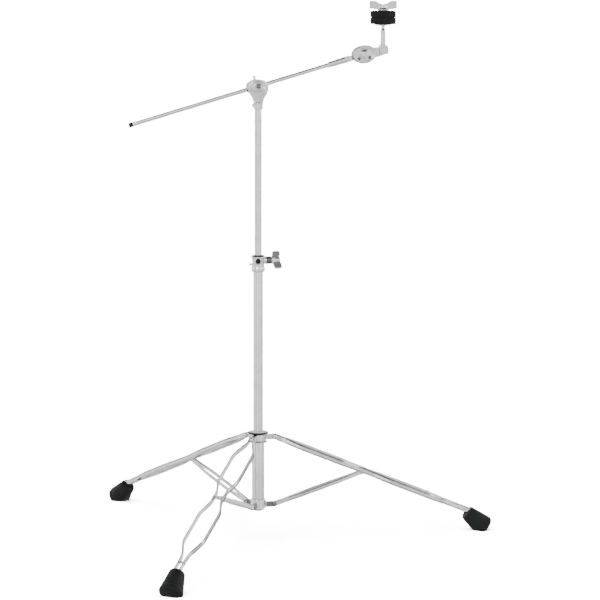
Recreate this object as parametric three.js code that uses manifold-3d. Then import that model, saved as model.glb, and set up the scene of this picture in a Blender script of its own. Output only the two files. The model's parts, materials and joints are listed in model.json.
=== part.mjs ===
// Cymbal boom stand: a folding double-braced tripod, a two-section mast, a boom rod clamped
// across its top and a tilter that carries the cymbal seat. Millimetres, +Z up.
import * as THREE from 'three';
import { mergeVertices } from 'three/addons/utils/BufferGeometryUtils.js';
import Module from 'manifold-3d';

const wasm = await Module();
wasm.setup();

const { degToRad } = THREE.MathUtils;
const vec = (x, y, z) => new THREE.Vector3(x, y, z);
const UP = vec(0, 0, 1);
const BACK = vec(0, 1, 0);

// ---- driving dimensions -------------------------------------------------------------------
const GAP = 0.3;                        // running gap between neighbouring pieces
const ROUND = 20;                       // sides of an ordinary round piece
const FINE = 10;                        // sides of a pin or a small screw

const BASE_TUBE = { outer: 11.1, inner: 9.6, bottom: 69.5, top: 640 };
const UPPER_TUBE = { outer: 7.95, inner: 6.6, bottom: 500, top: 986 };
const SLEEVE_RADIUS = 14.3;
const LOWER_COLLAR = { radius: 17, bottom: 70.5, top: 93, screwZ: 81 };
const LEG_COLLAR = { radius: 18, bottom: 223, top: 243.2, screwZ: 234.5 };
const SCREW_SIDE = degToRad(60);        // azimuth of both collars' screws

const PIVOT_RADIUS = 38;                // leg and brace pivots, from the mast axis
const LEG_PIVOT_Z = 235.5;
const LEG_SLOPE = degToRad(22.7);
const BRACE_SLOPE = degToRad(18.15);
const LEG_TO_RIVET = 226;               // leg pivot to the brace rivet
const BRACE_LENGTH = LEG_TO_RIVET * Math.cos(LEG_SLOPE) / Math.cos(BRACE_SLOPE);
const BRACE_PIVOT_Z = LEG_PIVOT_Z - LEG_TO_RIVET * Math.sin(LEG_SLOPE)
  - BRACE_LENGTH * Math.sin(BRACE_SLOPE);
const LEG_LENGTH = 494;                 // leg pivot to the strap's end inside the foot
const FOOT_RIVET = 462;
const LEGS = { right: degToRad(0.8), back: degToRad(120.8), front: degToRad(240.8) };

const LEG_STRAP = { height: 12.8, thick: 2.2, ends: 4.6, rivet: 9.6, foot: 5, wide: 21 };
const BRACE_STRAP = { height: 9.6, thick: 2, ends: 4.6, rivet: 3.6, wide: 8.5 };
const TONGUE = { half: 4.2, radius: 6 };
const PIN = { radius: 2.6, hole: 2.9, head: 4.6, headHeight: 1.8 };

const FOOT_TOP = vec(488.3, 0, 41);
const FOOT_SLOPE = degToRad(41.6);

const CLAMP_TURN = degToRad(-9);        // the plug's side of the clamp
const CLAMP_Z = 610.6;
const BOLT_Z = 636.2;
const BOLT_TURN = degToRad(5);          // azimuth of the height bolt
const BOLT_SPIN = degToRad(-30);

const HEAD_Z = 1021.5;                  // boom rod, where it crosses the mast
const TILT_Z = 1024.5;                  // boom tilt axis
const ROD_Y = 21;                       // boom rod behind the mast axis
const ROD_RADIUS = 4.75;
const BOOM_SLOPE = degToRad(16.3);
const BOOM_TAIL = -297;
const TILTER_AT = 251.8;                // tilter pivot, along the boom from the mast
const NECK = { start: 168, end: 219 };
const OVAL_TURN = degToRad(8);

const ARM_Y = 26;                       // middle of the tilter arm
const SEAT_X = 286.4;                   // cymbal rod
const SEAT_Z = 1156.2;                    // underside of the seat washer
const FELT = { radius: 29, bore: 5.4, height: 14.8 };
const SLEEVE_ABOVE = 0.6;               // cymbal sleeve above the upper felt

const KINDS = {
  chrome: { color: 0xc9ccce, metalness: 1, roughness: 0.14 },
  darkMetal: { color: 0x55585a, metalness: 0.9, roughness: 0.35 },
  rubber: { color: 0x161617, metalness: 0, roughness: 0.75 },
  nylon: { color: 0x0d0d0e, metalness: 0, roughness: 0.45 },
  felt: { color: 0x141414, metalness: 0, roughness: 1 },
};

// ---- shape helpers --------------------------------------------------------------------------
// Merge shared corners, drop collapsed triangles and turn the faces outwards.
function closed(geometry) {
  const bare = geometry.index ? geometry.clone() : geometry;
  bare.deleteAttribute('normal');
  bare.deleteAttribute('uv');
  const merged = mergeVertices(bare, 1e-3);
  const corner = merged.attributes.position;
  const pointAt = (_, i) => vec(0, 0, 0).fromBufferAttribute(corner, i);
  const points = Array.from({ length: corner.count }, pointAt);
  const faces = [];
  let volume = 0;
  for (let i = 0; i < merged.index.count; i += 3) {
    const [a, b, c] = [0, 1, 2].map((k) => merged.index.getX(i + k));
    if (a === b || b === c || c === a) continue;
    faces.push([a, b, c]);
    volume += points[a].dot(points[b].clone().cross(points[c]));
  }
  merged.setIndex(faces.flatMap(([a, b, c]) => (volume < 0 ? [a, c, b] : [a, b, c])));
  return merged;
}

function solid(geometry) {
  const shape = closed(geometry);
  return new wasm.Manifold(new wasm.Mesh({
    numProp: 3,
    vertProperties: new Float32Array(shape.attributes.position.array),
    triVerts: new Uint32Array(shape.index.array),
  }));
}

function surface(manifold) {
  const mesh = manifold.getMesh();
  const geometry = new THREE.BufferGeometry();
  const corners = new THREE.BufferAttribute(new Float32Array(mesh.vertProperties), 3);
  geometry.setAttribute('position', corners);
  geometry.setIndex(Array.from(mesh.triVerts));
  return geometry;
}

// Join the first list of shapes, then cut the second list out of it.
function carve(joined, cuts = []) {
  let body = solid(joined[0]);
  for (const shape of joined.slice(1)) body = body.add(solid(shape));
  for (const shape of cuts) body = body.subtract(solid(shape));
  return surface(body);
}

// A turned piece about +Z from [radius, z] points.
function turned(points, sides = ROUND) {
  const profile = points.map(([radius, z]) => new THREE.Vector2(radius, z));
  return new THREE.LatheGeometry(profile, sides).rotateX(Math.PI / 2);
}

function tube(outer, inner, bottom, top, sides = ROUND) {
  return turned([[inner, bottom], [outer, bottom], [outer, top], [inner, top], [inner, bottom]], sides);
}

function bar(radius, bottom, top, sides = ROUND) {
  return turned([[0, bottom], [radius, bottom], [radius, top], [0, top]], sides);
}

function aimed(geometry, direction, position = vec(0, 0, 0)) {
  const turn = new THREE.Quaternion().setFromUnitVectors(UP, direction.clone().normalize());
  return geometry.applyQuaternion(turn).translate(position.x, position.y, position.z);
}

// An outline drawn in X and Z, with its thickness running from y0 to y1.
function plate(shape, y0, y1, curveSegments = 10) {
  const body = new THREE.ExtrudeGeometry(shape, { depth: y1 - y0, bevelEnabled: false, curveSegments });
  return body.rotateX(Math.PI / 2).translate(0, y1, 0);
}

function block(x0, x1, y0, y1, z0, z1) {
  const box = new THREE.BoxGeometry(x1 - x0, y1 - y0, z1 - z0);
  return box.translate((x0 + x1) / 2, (y0 + y1) / 2, (z0 + z1) / 2);
}

function oval(radiusX, radiusZ) {
  return new THREE.Shape().absellipse(0, 0, radiusX, radiusZ, 0, 2 * Math.PI);
}

const flatDirection = (azimuth) => vec(Math.cos(azimuth), Math.sin(azimuth), 0);

const group = new THREE.Group();

function add(parent, name, geometry, kind, position = vec(0, 0, 0), direction = UP) {
  const mesh = new THREE.Mesh(closed(geometry), new THREE.MeshStandardMaterial(KINDS[kind]));
  mesh.name = name;
  mesh.position.copy(position);
  mesh.quaternion.setFromUnitVectors(UP, direction.clone().normalize());
  parent.add(mesh);
  return mesh;
}

function turnedGroup(parent, angle, position = vec(0, 0, 0), axis = 'z') {
  const holder = new THREE.Group();
  holder.rotation[axis] = angle;
  holder.position.copy(position);
  parent.add(holder);
  return holder;
}

// ---- fasteners ------------------------------------------------------------------------------
// A pin lying along Y with a domed head at each end, just outside a stack of half-width `half`.
function pin(half) {
  const seat = half + GAP;
  const crown = seat + PIN.headHeight;
  const right = [[PIN.radius, seat], [PIN.head, seat], [PIN.head * 0.7, crown], [0, crown]];
  const left = right.map(([radius, along]) => [radius, -along]).reverse();
  return turned([...left, ...right], FINE).rotateX(Math.PI / 2);
}

// A wing nut or wing screw about +Z: a hub with two broad, square-tipped wings in the XZ plane.
function wings({ hub, height, span, low, high, notch, thick, bore = 0, shank = 0, shankLength = 0 }) {
  const corner = span * 0.1;
  const shoulder = span * 0.34;         // where a wing's top edge starts, from the axis
  const foot = height * 0.12;
  const outline = new THREE.Shape();
  outline.moveTo(0, notch);
  outline.quadraticCurveTo(shoulder * 0.8, notch, shoulder * 1.3, (notch + high * 2) / 3);
  outline.quadraticCurveTo(shoulder * 1.5, high, shoulder * 1.9, high);
  outline.lineTo(span - corner, high);
  outline.quadraticCurveTo(span, high, span, high - corner);
  outline.lineTo(span, low + corner);
  outline.quadraticCurveTo(span, low, span - corner, low);
  outline.quadraticCurveTo(span * 0.6, low * 0.8, hub * 0.8, foot);
  outline.lineTo(0, foot);
  const right = plate(outline, -thick / 2, thick / 2, 3);
  const left = right.clone().rotateZ(Math.PI);
  const core = turned([[0, 0], [hub, 0], [hub, foot], [hub * 0.68, height * 0.5], [hub * 0.68, height],
    [0, height]], 12);
  const pieces = [core, right, left];
  if (shank) pieces.push(bar(shank, -shankLength, 1, FINE));
  return carve(pieces, bore ? [bar(bore, -1, height + 30, FINE)] : []);
}

// ---- mast and collars -----------------------------------------------------------------------
const outward = (geometry, azimuth) => geometry.rotateZ(azimuth);

function tongues(pivotZ) {
  const root = 12;
  const shape = new THREE.Shape();
  shape.moveTo(root, -TONGUE.radius);
  shape.lineTo(PIVOT_RADIUS, -TONGUE.radius);
  shape.absarc(PIVOT_RADIUS, 0, TONGUE.radius, -Math.PI / 2, Math.PI / 2);
  shape.lineTo(root, TONGUE.radius);
  return Object.values(LEGS).map((azimuth) => outward(
    plate(shape, -TONGUE.half, TONGUE.half, 6).translate(0, 0, pivotZ), azimuth));
}

function pinHoles(pivotZ) {
  return Object.values(LEGS).map((azimuth) => outward(
    bar(PIN.hole, -20, 20, FINE).rotateX(Math.PI / 2).translate(PIVOT_RADIUS, 0, pivotZ), azimuth));
}

function radialBar(radius, from, to, z) {
  return aimed(bar(radius, from, to, FINE), flatDirection(SCREW_SIDE), vec(0, 0, z));
}

function buildMast() {
  const { outer, inner, bottom, top } = BASE_TUBE;
  add(group, 'base_tube', tube(outer, inner, bottom, top), 'chrome');
  const plug = inner - 0.4;
  const cap = turned([[0, bottom - 3], [outer - 0.7, bottom - 3], [outer, bottom - 2],
    [outer, bottom - GAP], [plug, bottom - GAP], [plug, bottom + 8], [0, bottom + 8]]);
  add(group, 'base_tube_end_cap', cap, 'nylon');
  const bore = outer + GAP;
  const hub = tube(LOWER_COLLAR.radius, bore - 2, LOWER_COLLAR.bottom, LOWER_COLLAR.top);
  const lower = carve([hub, ...tongues(BRACE_PIVOT_Z)],
    [bar(bore, 0, 200), ...pinHoles(BRACE_PIVOT_Z), radialBar(3.3, 5, 25, LOWER_COLLAR.screwZ)]);
  add(group, 'lower_collar', lower, 'chrome');
  const screw = turned([[0, bore + 0.1], [3, bore + 0.1], [3, 17.3], [5, 17.3], [5, 19.5], [3.5, 20.6],
    [0, 20.6]], FINE);
  const screwPlace = vec(0, 0, LOWER_COLLAR.screwZ);
  add(group, 'lower_collar_screw', screw, 'darkMetal', screwPlace, flatDirection(SCREW_SIDE));
  const sleeve = tube(SLEEVE_RADIUS, bore, LOWER_COLLAR.top + GAP, LEG_COLLAR.bottom - GAP);
  add(group, 'spacer_sleeve', sleeve, 'chrome');
}

function buildLegCollar() {
  const { radius, bottom, top, screwZ } = LEG_COLLAR;
  const hub = turned([[10, bottom], [20.4, bottom], [20.4, bottom + 2.6], [radius, bottom + 4],
    [radius, top - 1.6], [radius - 0.8, top], [10, top], [10, bottom]]);
  const bore = 13.7;
  const collar = carve([hub, radialBar(6.2, 12, 25, screwZ), ...tongues(LEG_PIVOT_Z)],
    [bar(bore, 0, 400), ...pinHoles(LEG_PIVOT_Z), radialBar(3.3, 5, 40, screwZ)]);
  add(group, 'leg_collar', collar, 'chrome');
  const liner = bore - GAP;
  const flange = top + GAP;
  const bushing = turned([[11.4, bottom + 1], [liner, bottom + 1], [liner, flange], [22.2, flange],
    [23, flange + 0.8], [23, flange + 3], [22.2, flange + 3.8], [11.4, flange + 3.8],
    [11.4, bottom + 1]]);
  add(group, 'leg_collar_bushing', bushing, 'nylon');
  const screw = wings({ hub: 6, height: 12, span: 19, low: 7, high: 16, notch: 9, thick: 3.4,
    shank: 3, shankLength: 11.2 });
  const place = flatDirection(SCREW_SIDE).multiplyScalar(25.4).setZ(screwZ);
  add(group, 'leg_collar_wing_screw', screw, 'chrome', place, flatDirection(SCREW_SIDE));
}

// ---- legs, braces and feet ------------------------------------------------------------------
// Each row is [start, end, half-gap at start, half-gap at end], in distance along the strap.
const LEG_STATIONS = [
  [0, 10, LEG_STRAP.ends, LEG_STRAP.ends],
  [10, 70, LEG_STRAP.ends, LEG_STRAP.wide],
  [70, 160, LEG_STRAP.wide, LEG_STRAP.wide],
  [160, 214, LEG_STRAP.wide, LEG_STRAP.rivet],
  [214, 238, LEG_STRAP.rivet, LEG_STRAP.rivet],
  [238, 292, LEG_STRAP.rivet, LEG_STRAP.wide],
  [292, 380, LEG_STRAP.wide, LEG_STRAP.wide],
  [380, 450, LEG_STRAP.wide, LEG_STRAP.foot],
  [450, LEG_LENGTH, LEG_STRAP.foot, LEG_STRAP.foot],
];
const BRACE_STATIONS = [
  [0, 10, BRACE_STRAP.ends, BRACE_STRAP.ends],
  [10, 80, BRACE_STRAP.ends, BRACE_STRAP.wide],
  [80, 130, BRACE_STRAP.wide, BRACE_STRAP.wide],
  [130, 205, BRACE_STRAP.wide, BRACE_STRAP.rivet],
  [205, BRACE_LENGTH + 10, BRACE_STRAP.rivet, BRACE_STRAP.rivet],
];

function halfGap(along, stations) {
  const row = stations.find(([, end]) => along <= end) ?? stations[stations.length - 1];
  const [start, end, from, to] = row;
  return from + (to - from) * THREE.MathUtils.smoothstep(along, start, end);
}

// One pressed strap along +X, bowed sideways, with a round end and pin holes.
function strap(size, length, stations, side, holes, step) {
  const half = size.height / 2;
  const outline = new THREE.Shape();
  const count = Math.round((length + half) / step);
  const at = (i) => -half + (length + half) * i / count;
  outline.moveTo(at(0), halfGap(0, stations));
  for (let i = 1; i <= count; i += 1) outline.lineTo(at(i), halfGap(at(i), stations));
  for (let i = count; i >= 0; i -= 1) outline.lineTo(at(i), halfGap(at(i), stations) + size.thick);
  const body = new THREE.ExtrudeGeometry(outline, { depth: size.height, bevelEnabled: false });
  body.translate(0, 0, -half).scale(1, side, 1);
  const profile = new THREE.Shape();
  profile.absarc(0, 0, half, Math.PI / 2, Math.PI * 1.5);
  profile.lineTo(length + 20, -half);
  profile.lineTo(length + 20, half);
  const rounded = solid(body).intersect(solid(plate(profile, -40, 40, 6)));
  const hole = (along) => bar(PIN.hole, -40, 40, FINE).rotateX(Math.PI / 2).translate(along, 0, 0);
  return surface(holes.reduce((shape, along) => shape.subtract(solid(hole(along))), rounded));
}

// A blunt rubber cone with a flat where it rests and a pocket for the two straps.
function footShape() {
  const profile = [[0, 0], [15.6, 0], [17.2, 1.8], [26.2, 48], [26.2, 51.5], [24, 55.5], [16, 59],
    [0, 61]];
  const cone = aimed(turned(profile), vec(Math.cos(FOOT_SLOPE), 0, -Math.sin(FOOT_SLOPE)), FOOT_TOP);
  const side = LEG_STRAP.foot + LEG_STRAP.thick + GAP;
  const deep = LEG_STRAP.height / 2 + GAP;
  const pocket = block(470, LEG_LENGTH + GAP, -side, side, -deep, deep).rotateY(LEG_SLOPE)
    .translate(PIVOT_RADIUS, 0, LEG_PIVOT_Z);
  return carve([cone], [block(400, 600, -60, 60, -40, 0), pocket]);
}

function buildStraps(parent, name, size, length, stations, holes, step) {
  for (const [label, side] of [['a', 1], ['b', -1]]) {
    add(parent, `${name}_strap_${label}`, strap(size, length, stations, side, holes, step), 'chrome');
  }
}

function buildLeg(name, azimuth) {
  const place = turnedGroup(group, azimuth);
  const leg = turnedGroup(place, LEG_SLOPE, vec(PIVOT_RADIUS, 0, LEG_PIVOT_Z), 'y');
  buildStraps(leg, `leg_${name}`, LEG_STRAP, LEG_LENGTH, LEG_STATIONS, [0, FOOT_RIVET], 17);
  add(leg, `leg_${name}_pivot_pin`, pin(LEG_STRAP.ends + LEG_STRAP.thick), 'chrome');
  const footRivet = pin(LEG_STRAP.foot + LEG_STRAP.thick);
  add(leg, `leg_${name}_foot_rivet`, footRivet, 'chrome', vec(FOOT_RIVET, 0, 0));
  add(place, `foot_${name}`, footShape(), 'rubber');
  const brace = turnedGroup(place, -BRACE_SLOPE, vec(PIVOT_RADIUS, 0, BRACE_PIVOT_Z), 'y');
  const braceEnd = BRACE_LENGTH + BRACE_STRAP.height / 2;
  buildStraps(brace, `brace_${name}`, BRACE_STRAP, braceEnd, BRACE_STATIONS, [0, BRACE_LENGTH], 18);
  add(brace, `brace_${name}_pivot_pin`, pin(BRACE_STRAP.ends + BRACE_STRAP.thick), 'chrome');
  const endRivet = pin(BRACE_STRAP.rivet + BRACE_STRAP.thick);
  add(brace, `brace_${name}_end_rivet`, endRivet, 'chrome', vec(BRACE_LENGTH, 0, 0));
}

// ---- height clamp ---------------------------------------------------------------------------
function buildHeightClamp() {
  const clamp = turnedGroup(group, CLAMP_TURN, vec(0, 0, CLAMP_Z));
  const boltZ = BOLT_Z - CLAMP_Z;
  const bore = BASE_TUBE.outer + GAP;
  const across = flatDirection(BOLT_TURN - CLAMP_TURN);
  const level = vec(0, 0, boltZ);
  const shell = turned([[bore, 0], [13.2, 0], [15.2, 2.6], [15.4, 8], [13.8, 12], [13.8, 30.5],
    [16.6, 32.4], [16.6, 34.4], [15.8, 35.2], [bore, 35.2], [bore, 0]]);
  const boss = aimed(bar(8.2, 10, 18.5, 14), across, level);
  const tab = block(-20.5, -12, -3, 3, 14.5, 19.5);
  const plugSeat = aimed(bar(7.2, 10, 16, 14), vec(0, -1, 0), level);
  const boltHole = aimed(bar(4.1, 5, 40, FINE), across, level);
  const shape = carve([shell, boss, tab, plugSeat], [bar(bore, -5, 60), boltHole]);
  add(clamp, 'height_clamp', shape, 'chrome');
  const badge = turned([[0, 16.3], [6, 16.3], [6, 17.5], [4.9, 18.8], [0, 19.3]], 18);
  add(clamp, 'clamp_badge', badge, 'nylon', level, vec(0, -1, 0));
  const washer = turned([[4.1, 18.8], [8.3, 18.8], [8.8, 19.5], [8.8, 28.2], [8.2, 28.9], [4.1, 28.9],
    [4.1, 18.8]], 18);
  add(clamp, 'clamp_washer', washer, 'darkMetal', level, across);
  const bolt = wings({ hub: 8.4, height: 21, span: 21.5, low: 5.5, high: 23, notch: 19, thick: 6,
    shank: 3.8, shankLength: 17.2 });
  const seat = flatDirection(BOLT_TURN).multiplyScalar(29.2).setZ(BOLT_Z);
  const mesh = add(group, 'height_wing_bolt', bolt, 'chrome', seat, flatDirection(BOLT_TURN));
  mesh.rotateZ(BOLT_SPIN);
}

// A nylon sleeve between the two mast tubes, with a lip over the clamp.
function buildSwivelBush() {
  const bore = UPPER_TUBE.outer + GAP;
  const lip = CLAMP_Z + 35.5;
  const bush = turned([[bore, 596], [9.3, 596], [9.3, BASE_TUBE.top + GAP], [11.1, BASE_TUBE.top + GAP],
    [11.1, lip], [14.2, lip], [14.2, lip + 1.8], [bore, lip + 1.8], [bore, 596]]);
  add(group, 'swivel_bush', bush, 'nylon');
}

// ---- boom head ------------------------------------------------------------------------------
const boomDirection = vec(Math.cos(BOOM_SLOPE), 0, Math.sin(BOOM_SLOPE));
const boomOrigin = vec(0, ROD_Y, HEAD_Z);
const alongBoom = (distance) => boomOrigin.clone().addScaledVector(boomDirection, distance);
const tiltAxis = vec(0, 0, TILT_Z);

function shieldShape() {
  const bottom = 986.5;
  const wide = 22.4;
  const shield = new THREE.Shape();
  shield.moveTo(-10.2, bottom);
  shield.lineTo(10.2, bottom);
  shield.quadraticCurveTo(11.2, bottom + 10, 16.5, bottom + 17);
  shield.quadraticCurveTo(wide, bottom + 25, wide, HEAD_Z);
  shield.absellipse(0, HEAD_Z, wide, 17.6, 0, Math.PI);
  shield.quadraticCurveTo(-wide, bottom + 25, -16.5, bottom + 17);
  shield.quadraticCurveTo(-11.2, bottom + 10, -10.2, bottom);
  return shield;
}

function buildBracket() {
  const { outer, inner, bottom, top } = UPPER_TUBE;
  add(group, 'upper_tube', tube(outer, inner, bottom, top), 'chrome');
  const screwZ = 982;
  const face = plate(shieldShape(), -8, 5.5, 8);
  const rim = plate(oval(17.5, 12), -10.5, -6, 12).translate(0, 0, TILT_Z - 0.5);
  const collar = turned([[0, 973], [10, 973], [10.8, 974], [10.8, 986.4], [10.2, 987.6], [0, 987.6]]);
  const cuts = [
    bar(outer + GAP, 900, top + GAP),
    plate(oval(8, 5), -20, -5.4, 8).translate(0, 0, TILT_Z),
    aimed(bar(4.3, -30, 30, FINE), BACK, tiltAxis),
    aimed(bar(2.3, 5, 20, FINE), vec(-1, 0, 0), vec(0, 0, screwZ)),
  ];
  add(group, 'boom_bracket', carve([face, rim, collar], cuts), 'chrome');
  const setScrew = turned([[0, 8.5], [2, 8.5], [2, 11.2], [3.3, 11.2], [3.3, 13.2], [2.4, 14],
    [0, 14]], FINE);
  add(group, 'bracket_set_screw', setScrew, 'chrome', vec(0, 0, screwZ), vec(-1, 0, 0));
  const bolt = turned([[0, -9], [4.6, -9], [4.6, -5.7], [4, -5.7], [4, 11.5], [0, 11.5]], FINE);
  add(group, 'boom_pivot_bolt', bolt, 'darkMetal', tiltAxis, BACK);
}

function buildBoom() {
  const disc = plate(oval(25.4, 15), 5.9, 12.4, 12).translate(-0.6, 0, TILT_Z - 0.5);
  const barrelProfile = [[0, -22], [8.2, -22], [9.2, -20.5], [9.2, 20.5], [8.2, 22], [0, 22]];
  const barrel = aimed(turned(barrelProfile, 16), boomDirection, boomOrigin);
  const screwBoss = aimed(bar(8, ROD_Y, 33.4, 12), BACK, tiltAxis);
  const web = block(-12, 12, 11, 23, HEAD_Z - 9, HEAD_Z + 11);
  const cuts = [
    aimed(bar(5.7, -40, 40, 14), boomDirection, boomOrigin),
    aimed(bar(4.3, 0, 12, FINE), BACK, tiltAxis),
    aimed(bar(3.8, ROD_Y, 50, FINE), BACK, tiltAxis),
  ];
  add(group, 'boom_holder', carve([disc, web, barrel, screwBoss], cuts), 'chrome');
  const liner = tube(5.4, ROD_RADIUS + 0.25, -23.5, 23.5, 14);
  add(group, 'boom_liner', liner, 'nylon', boomOrigin, boomDirection);
  const screw = wings({ hub: 8.2, height: 14, span: 21, low: 7, high: 18, notch: 12, thick: 5.2,
    shank: 3.5, shankLength: 6.4 });
  const screwMesh = add(group, 'boom_wing_screw', screw, 'chrome', vec(0, 33.8, TILT_Z), BACK);
  screwMesh.rotateZ(degToRad(84));
  const rod = bar(ROD_RADIUS, BOOM_TAIL + 3, NECK.end - 6, 18);
  add(group, 'boom_rod', rod, 'chrome', boomOrigin, boomDirection);
  const cap = turned([[0, 0], [4.6, 0], [5.3, 0.8], [5.3, 9], [5.05, 9], [5.05, 2.7], [0, 2.7]], 18);
  add(group, 'boom_end_cap', cap, 'nylon', alongBoom(BOOM_TAIL), boomDirection);
}

// ---- cymbal tilter --------------------------------------------------------------------------
const tilterPivot = alongBoom(TILTER_AT);
const tilterAxis = vec(tilterPivot.x, 0, tilterPivot.z);
const tilterHole = () => aimed(bar(4.3, -30, 60, FINE), BACK, tilterAxis);
const ovalAt = (shape, y0, y1) => plate(shape, y0, y1, 9).rotateY(-OVAL_TURN)
  .translate(tilterAxis.x, 0, tilterAxis.z);

function buildTilterSocket() {
  const front = ovalAt(oval(28, 20.4), 12, ROD_Y - GAP);
  const rim = ovalAt(oval(27, 19.4), 8.5, 13);
  const dish = ovalAt(oval(21.8, 14.2), 0, 11.5);
  const hub = aimed(bar(9.5, 8.5, 12.5, 18), BACK, tilterAxis);
  const neckProfile = [[0, NECK.start], [5.9, NECK.start], [6.4, NECK.start + 1],
    [7.4, NECK.end - 8], [7.4, NECK.end], [0, NECK.end]];
  const neck = aimed(turned(neckProfile, 14), boomDirection, boomOrigin);
  const bridge = block(NECK.end - 10, NECK.end + 12, ROD_Y - 7, ROD_Y - GAP, -6, 6);
  bridge.rotateY(-BOOM_SLOPE).translate(0, 0, HEAD_Z);
  const rodBore = aimed(bar(ROD_RADIUS + GAP, 100, NECK.end - 5.5, 18), boomDirection, boomOrigin);
  const dished = surface(solid(rim).subtract(solid(dish)));
  const shape = carve([front, dished, hub, neck, bridge], [rodBore, tilterHole()]);
  add(group, 'tilter_socket', shape, 'chrome');
}

function buildTilterArm() {
  const { x, z } = tilterPivot;
  const rodHole = 5.9;
  const back = ovalAt(oval(27, 19.6), ROD_Y + GAP, 31.5);
  const arm = new THREE.Shape();
  arm.moveTo(x + 6, z + 13);
  arm.lineTo(SEAT_X - 5, z + 16);
  arm.lineTo(SEAT_X + 9, z + 18);
  arm.lineTo(SEAT_X + 9, z + 1);
  arm.lineTo(SEAT_X - 10, z - 6);
  arm.lineTo(x + 4, z - 12);
  const web = plate(arm, ROD_Y + GAP, 31);
  const eyeShape = new THREE.Shape();
  eyeShape.moveTo(SEAT_X - 8.5, z);
  eyeShape.lineTo(SEAT_X + 11.5, z);
  eyeShape.lineTo(SEAT_X + 11.5, z + 15.5);
  eyeShape.lineTo(SEAT_X + 6.5, z + 20.5);
  eyeShape.lineTo(SEAT_X - 8.5, z + 20.5);
  const eye = plate(eyeShape, ARM_Y - 9.5, ARM_Y + 9.5);
  const socket = bar(rodHole, z + 2, z + 60, 18).translate(SEAT_X, ARM_Y, 0);
  add(group, 'tilter_arm', carve([back, web, eye], [tilterHole(), socket]), 'chrome');
  const bolt = turned([[0, 4.2], [6.6, 4.2], [6.6, 8.2], [4, 8.2], [4, 49.2], [0, 49.2]], FINE);
  add(group, 'tilter_bolt', bolt, 'darkMetal', tilterAxis, BACK);
  const nut = wings({ hub: 8.6, height: 14, span: 23, low: 7, high: 17, notch: 11, thick: 4.4,
    bore: 4.3 });
  const nutMesh = add(group, 'tilter_wing_nut', nut, 'chrome', vec(x, 31.9, z), BACK);
  nutMesh.rotateZ(-OVAL_TURN);
}

function buildCymbalSeat() {
  const seat = turnedGroup(group, 0, vec(SEAT_X, ARM_Y, 0));
  const rodBottom = tilterPivot.z + 2.4;
  const thread = 3;
  const rod = turned([[0, rodBottom], [5.6, rodBottom], [5.6, SEAT_Z - 12], [3.4, SEAT_Z - 6],
    [3.4, SEAT_Z - 3], [5.2, SEAT_Z - 3], [5.2, SEAT_Z - GAP], [thread, SEAT_Z - GAP],
    [thread, SEAT_Z + 45], [0, SEAT_Z + 46]], 18);
  add(seat, 'cymbal_rod', rod, 'chrome');
  add(seat, 'seat_washer', tube(17.5, thread + GAP, SEAT_Z, SEAT_Z + 2), 'chrome');
  const feltBottom = SEAT_Z + 2 + GAP;
  const sleeveTop = feltBottom + 2 * FELT.height + SLEEVE_ABOVE;
  add(seat, 'cymbal_sleeve', tube(FELT.bore - GAP, thread + GAP, feltBottom, sleeveTop, 18), 'nylon');
  for (const [index, name] of ['felt_lower', 'felt_upper'].entries()) {
    const bottom = feltBottom + index * (FELT.height + GAP);
    const top = bottom + FELT.height;
    const pad = turned([[FELT.bore, bottom], [FELT.radius - 1, bottom], [FELT.radius, bottom + 1],
      [FELT.radius, top - 1], [FELT.radius - 1, top], [FELT.bore, top], [FELT.bore, bottom]], 24);
    add(seat, name, pad, 'felt');
  }
  const nut = wings({ hub: 12.5, height: 12.5, span: 31.2, low: 3.7, high: 21.6, notch: 14.4, thick: 6,
    bore: thread + GAP });
  add(seat, 'top_wing_nut', nut, 'chrome', vec(0, 0, sleeveTop + GAP));
}

buildMast();
buildLegCollar();
for (const [name, azimuth] of Object.entries(LEGS)) buildLeg(name, azimuth);
buildHeightClamp();
buildSwivelBush();
buildBracket();
buildBoom();
buildTilterSocket();
buildTilterArm();
buildCymbalSeat();

// The origin is on the floor, under the middle of the stand's outline.
group.updateMatrixWorld(true);
const middle = new THREE.Box3().setFromObject(group, true).getCenter(vec(0, 0, 0));
group.position.set(-middle.x, -middle.y, 0);
group.updateMatrixWorld(true);

export default group;
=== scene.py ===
"""Cymbal boom stand: chrome, rubber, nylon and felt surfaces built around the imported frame."""
import json
import math

import bmesh
import bpy
from mathutils import Matrix, Quaternion, Vector, noise


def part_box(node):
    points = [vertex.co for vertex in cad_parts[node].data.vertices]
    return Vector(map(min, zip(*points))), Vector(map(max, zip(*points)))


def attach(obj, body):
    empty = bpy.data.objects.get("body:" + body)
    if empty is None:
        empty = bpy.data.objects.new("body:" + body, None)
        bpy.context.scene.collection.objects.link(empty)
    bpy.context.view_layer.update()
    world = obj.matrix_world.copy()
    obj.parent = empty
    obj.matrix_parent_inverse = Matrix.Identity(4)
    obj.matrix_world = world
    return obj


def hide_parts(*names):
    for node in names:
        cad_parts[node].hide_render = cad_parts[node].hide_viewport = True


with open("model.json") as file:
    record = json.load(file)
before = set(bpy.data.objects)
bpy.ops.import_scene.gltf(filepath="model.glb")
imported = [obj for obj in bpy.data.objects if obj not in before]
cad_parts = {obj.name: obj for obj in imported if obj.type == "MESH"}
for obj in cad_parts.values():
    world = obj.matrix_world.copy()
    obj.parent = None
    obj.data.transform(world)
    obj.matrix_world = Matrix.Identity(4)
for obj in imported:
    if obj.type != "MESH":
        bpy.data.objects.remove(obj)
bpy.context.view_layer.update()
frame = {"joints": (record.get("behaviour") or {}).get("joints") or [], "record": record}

MM = 0.001
UP = Vector((0, 0, 1))
JOINTS = {j["name"]: j for j in frame["joints"]}
BODY_OF = {node: body for body, nodes in frame["record"]["behaviour"]["bodies"].items() for node in nodes}

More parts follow.
